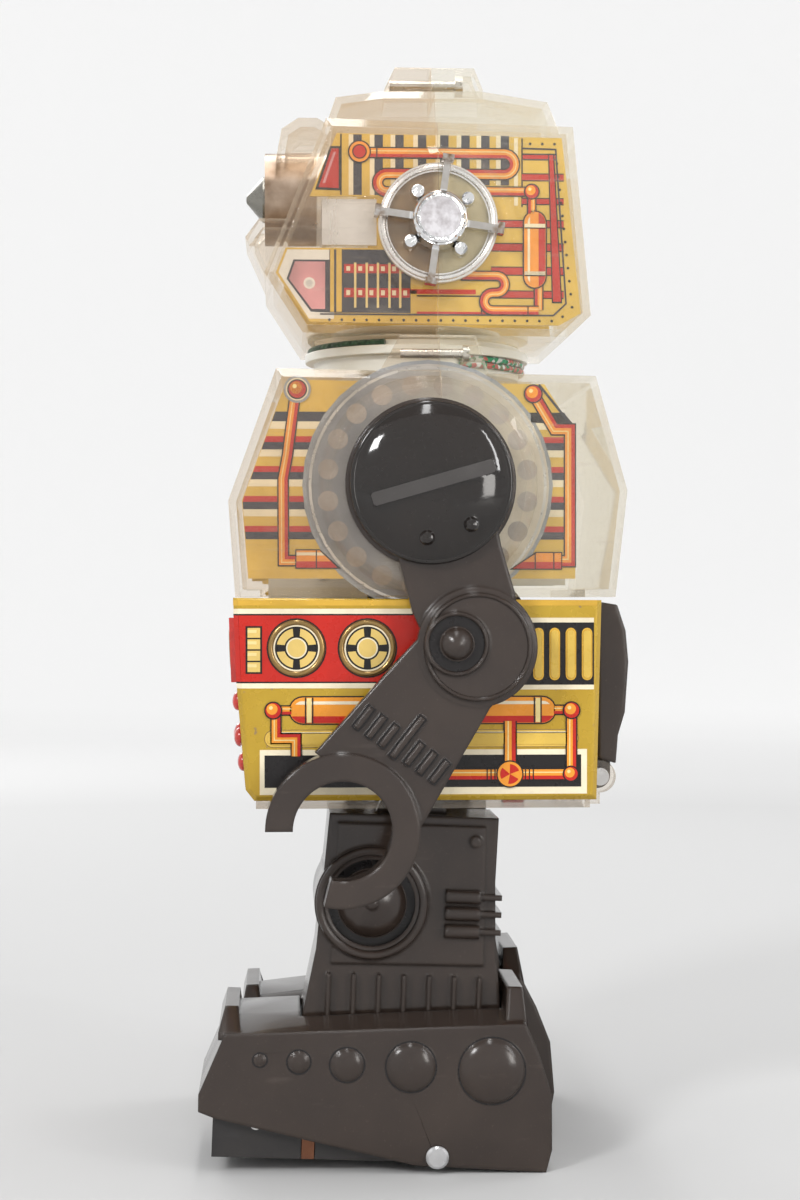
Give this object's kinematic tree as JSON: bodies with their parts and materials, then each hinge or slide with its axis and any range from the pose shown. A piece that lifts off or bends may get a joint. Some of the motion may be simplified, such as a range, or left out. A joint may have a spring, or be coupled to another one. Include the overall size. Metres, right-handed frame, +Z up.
{
  "type": "walking toy robot",
  "caption": "Battery-operated walking toy robot with a see-through head and chest, printed tin waist, swinging claw arms and wheeled feet",
  "frame": {"origin": "centre of the footprint box, on the ground the robot stands on", "axes": "+Z up; the robot faces -Y; its left side is +X"},
  "size_m": [0.1244, 0.111, 0.2896],
  "materials": {
    "smoky_clear": "clear styrene with a smoky brown tint",
    "pale_clear": "clear styrene, slightly yellowed",
    "printed_tin": "lithographed tin, gloss",
    "dark_plastic": "glossy dark brown-grey moulding",
    "cap_plastic": "high gloss dark dome",
    "chromed_plastic": "bright plated",
    "lamp_metal": "polished, slightly tarnished",
    "cream_plastic": "cream moulding with a silver rim",
    "white_plastic": "white moulding",
    "wire_cloth": "dark green cloth covering",
    "bulb_glass": "small bulb",
    "steel": "bright steel",
    "motor_case": "plated motor case",
    "red_plastic": "red moulding",
    "yellow_plastic": "yellow gear plastic",
    "blue_plastic": "blue gear plastic",
    "brass": "turned brass",
    "black_plastic": "black moulding",
    "cell_jacket": "battery jacket",
    "sole_metal": "black japanned sheet metal",
    "rubber": "black rubber",
    "copper": "copper spring strip"
  },
  "bodies": {
    "torso": {"neck_collar": "white_plastic", "neck_wires": "wire_cloth", "chest_shell_front": "smoky_clear", "chest_shell_rear": "pale_clear", "chest_panel_left": "printed_tin", "chest_panel_right": "printed_tin", "shoulder_screws": "steel", "shoulder_axles": "steel", "gear_frame": "white_plastic", "gear_shafts": "steel", "motor": "motor_case", "waist_body": "printed_tin", "base_tray": "smoky_clear", "front_bezel": "red_plastic", "front_lenses": "red_plastic", "battery_box": "black_plastic", "battery_cells": "cell_jacket", "battery_contacts": "brass", "cover_hinge_pin": "steel", "hip_shaft": "steel"},
    "head": {"head_shell_front": "smoky_clear", "head_shell_rear": "pale_clear", "head_panel_left": "printed_tin", "head_panel_right": "printed_tin", "lamp_housing": "lamp_metal", "nose_cone": "chromed_plastic", "head_bulb": "bulb_glass", "head_screw": "steel", "ear_dish_left": "cream_plastic", "ear_dish_right": "cream_plastic"},
    "ear_left": {"ear_spinner_left": "chromed_plastic"},
    "ear_right": {"ear_spinner_right": "chromed_plastic"},
    "motor_spindle": {"motor_pinion": "brass"},
    "gear_one": {"first_gear": "red_plastic"},
    "gear_two": {"second_gear": "yellow_plastic"},
    "gear_three": {"third_gear": "blue_plastic"},
    "cranks": {"crank_shaft": "steel"},
    "battery_door": {"battery_cover": "dark_plastic"},
    "switch": {"switch_slider": "red_plastic"},
    "arm_left_group": {"arm_left": "dark_plastic", "shoulder_cap_left": "cap_plastic"},
    "leg_left_group": {"leg_left": "dark_plastic", "foot_shell_left": "dark_plastic", "sole_tray_left": "sole_metal", "front_axle_left": "steel", "ratchet_pawl_left": "copper", "foot_screws_left": "steel"},
    "wheel_left": {"front_wheel_left": "rubber"},
    "roller_left": {"rear_axle_left": "steel"},
    "arm_right_group": {"arm_right": "dark_plastic", "shoulder_cap_right": "cap_plastic"},
    "leg_right_group": {"leg_right": "dark_plastic", "foot_shell_right": "dark_plastic", "sole_tray_right": "sole_metal", "front_axle_right": "steel", "ratchet_pawl_right": "copper", "foot_screws_right": "steel"},
    "wheel_right": {"front_wheel_right": "rubber"},
    "roller_right": {"rear_axle_right": "steel"}
  },
  "joints": [
    {"name": "head_turn", "type": "hinge", "parent": "torso", "child": "head", "pos_m": [0, 0.0025, 0.20738], "axis": [0, 0, 1], "range_deg": [-30, 30]},
    {"name": "ear_left_spin", "type": "hinge", "parent": "head", "child": "ear_left", "pos_m": [0.038, 0.006, 0.24308], "axis": [1, 0, 0], "continuous": true},
    {"name": "ear_right_spin", "type": "hinge", "parent": "head", "child": "ear_right", "pos_m": [-0.038, 0.006, 0.24308], "axis": [1, 0, 0], "continuous": true},
    {"name": "motor_spin", "type": "hinge", "parent": "torso", "child": "motor_spindle", "pos_m": [0, 0.01052, 0.17152], "axis": [1, 0, 0], "continuous": true},
    {"name": "first_gear_spin", "type": "hinge", "parent": "torso", "child": "gear_one", "pos_m": [0, -0.01114, 0.1677], "axis": [1, 0, 0], "continuous": true},
    {"name": "second_gear_spin", "type": "hinge", "parent": "torso", "child": "gear_two", "pos_m": [0, -0.024, 0.15238], "axis": [1, 0, 0], "continuous": true},
    {"name": "third_gear_spin", "type": "hinge", "parent": "torso", "child": "gear_three", "pos_m": [0, -0.024, 0.13438], "axis": [1, 0, 0], "continuous": true},
    {"name": "crank_spin", "type": "hinge", "parent": "torso", "child": "cranks", "pos_m": [0, -0.024, 0.11038], "axis": [1, 0, 0], "continuous": true},
    {"name": "battery_door_swing", "type": "hinge", "parent": "torso", "child": "battery_door", "pos_m": [0, 0.0484, 0.09938], "axis": [1, 0, 0], "range_deg": [-110, 0]},
    {"name": "switch_slide", "type": "slide", "parent": "torso", "child": "switch", "axis": [1, 0, 0], "range_m": [-0.004, 0.004]},
    {"name": "shoulder_left", "type": "hinge", "parent": "torso", "child": "arm_left_group", "pos_m": [0.052, 0.003, 0.17478], "axis": [1, 0, 0], "continuous": true},
    {"name": "hip_left", "type": "hinge", "parent": "torso", "child": "leg_left_group", "pos_m": [0.023, 0, 0.09938], "axis": [1, 0, 0], "range_deg": [-2.8, 7.2]},
    {"name": "front_wheel_spin_left", "type": "hinge", "parent": "leg_left_group", "child": "wheel_left", "pos_m": [0.027, -0.04097, 0.01249], "axis": [1, 0, 0], "continuous": true},
    {"name": "rear_axle_spin_left", "type": "hinge", "parent": "leg_left_group", "child": "roller_left", "pos_m": [0.027, 0.00486, 0.00442], "axis": [1, 0, 0], "continuous": true},
    {"name": "shoulder_right", "type": "hinge", "parent": "torso", "child": "arm_right_group", "pos_m": [-0.052, 0.003, 0.17478], "axis": [1, 0, 0], "continuous": true},
    {"name": "hip_right", "type": "hinge", "parent": "torso", "child": "leg_right_group", "pos_m": [-0.023, 0, 0.09938], "axis": [1, 0, 0], "range_deg": [-7.2, 2.8]},
    {"name": "front_wheel_spin_right", "type": "hinge", "parent": "leg_right_group", "child": "wheel_right", "pos_m": [-0.027, -0.03418, 0.0096], "axis": [1, 0, 0], "continuous": true},
    {"name": "rear_axle_spin_right", "type": "hinge", "parent": "leg_right_group", "child": "roller_right", "pos_m": [-0.027, 0.01213, 0.00507], "axis": [1, 0, 0], "continuous": true}
  ],
  "couplings": [
    {"joint": "first_gear_spin", "follows": "motor_spin", "ratio": -0.29412},
    {"joint": "second_gear_spin", "follows": "motor_spin", "ratio": 0.098039},
    {"joint": "third_gear_spin", "follows": "motor_spin", "ratio": -0.04902},
    {"joint": "crank_spin", "follows": "motor_spin", "ratio": 0.04902},
    {"joint": "hip_right", "follows": "hip_left", "ratio": -1}
  ]
}
